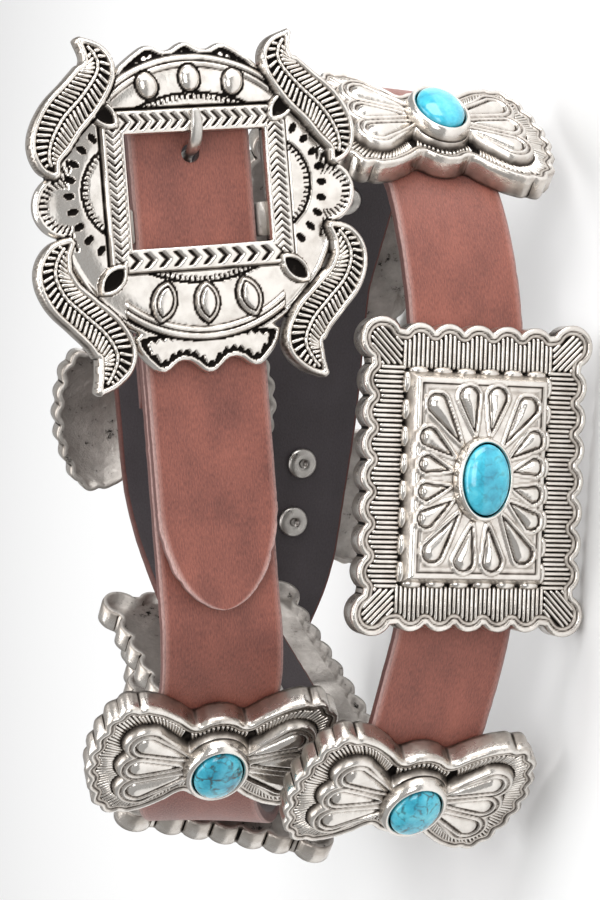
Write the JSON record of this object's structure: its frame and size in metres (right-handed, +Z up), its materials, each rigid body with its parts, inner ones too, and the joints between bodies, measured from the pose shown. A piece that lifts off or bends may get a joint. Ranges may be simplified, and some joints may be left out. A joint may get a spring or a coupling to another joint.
{
  "type": "western concho belt",
  "caption": "Leather belt with an ornate cast buckle and cast metal conchos that hold oval stones, fastened and wound into two turns.",
  "frame": {"origin": "middle of the wound belt at its lowest edge", "axes": "+Z up along the strap's width, the belt lies on the lower edges of its conchos; +X away from the curled-under end and towards the buckle's end; -Y out of the face that the buckle is on"},
  "size_m": [0.2122, 0.167, 0.1463],
  "materials": {
    "leather": "smooth rust-brown leather with a fine grain and a charcoal inner face",
    "silver": "antiqued silver plate on a cast zinc alloy, dark in its recesses",
    "nickel": "dull nickel plate",
    "turquoise": "polished turquoise with thin dark veins"
  },
  "bodies": {
    "root": {"strap": "leather", "buckle_frame": "silver", "buckle_bar": "nickel", "buckle_prong": "nickel", "fold_screw_a": "nickel", "fold_screw_b": "nickel", "concho_butterfly_1": "silver", "concho_butterfly_2": "silver", "concho_butterfly_3": "silver", "concho_butterfly_4": "silver", "concho_butterfly_5": "silver", "concho_rect_1": "silver", "concho_rect_2": "silver", "concho_rect_3": "silver", "concho_rect_4": "silver", "stone_butterfly_1": "turquoise", "stone_butterfly_2": "turquoise", "stone_butterfly_3": "turquoise", "stone_butterfly_4": "turquoise", "stone_butterfly_5": "turquoise", "stone_rect_1": "turquoise", "stone_rect_2": "turquoise", "stone_rect_3": "turquoise", "stone_rect_4": "turquoise", "screw_butterfly_1_a": "nickel", "screw_butterfly_1_b": "nickel", "screw_butterfly_2_a": "nickel", "screw_butterfly_2_b": "nickel", "screw_butterfly_3_a": "nickel", "screw_butterfly_3_b": "nickel", "screw_butterfly_4_a": "nickel", "screw_butterfly_4_b": "nickel", "screw_butterfly_5_a": "nickel", "screw_butterfly_5_b": "nickel", "screw_rect_1_a": "nickel", "screw_rect_1_b": "nickel", "screw_rect_2_a": "nickel", "screw_rect_2_b": "nickel", "screw_rect_3_a": "nickel", "screw_rect_3_b": "nickel", "screw_rect_4_a": "nickel", "screw_rect_4_b": "nickel"}
  },
  "joints": []
}
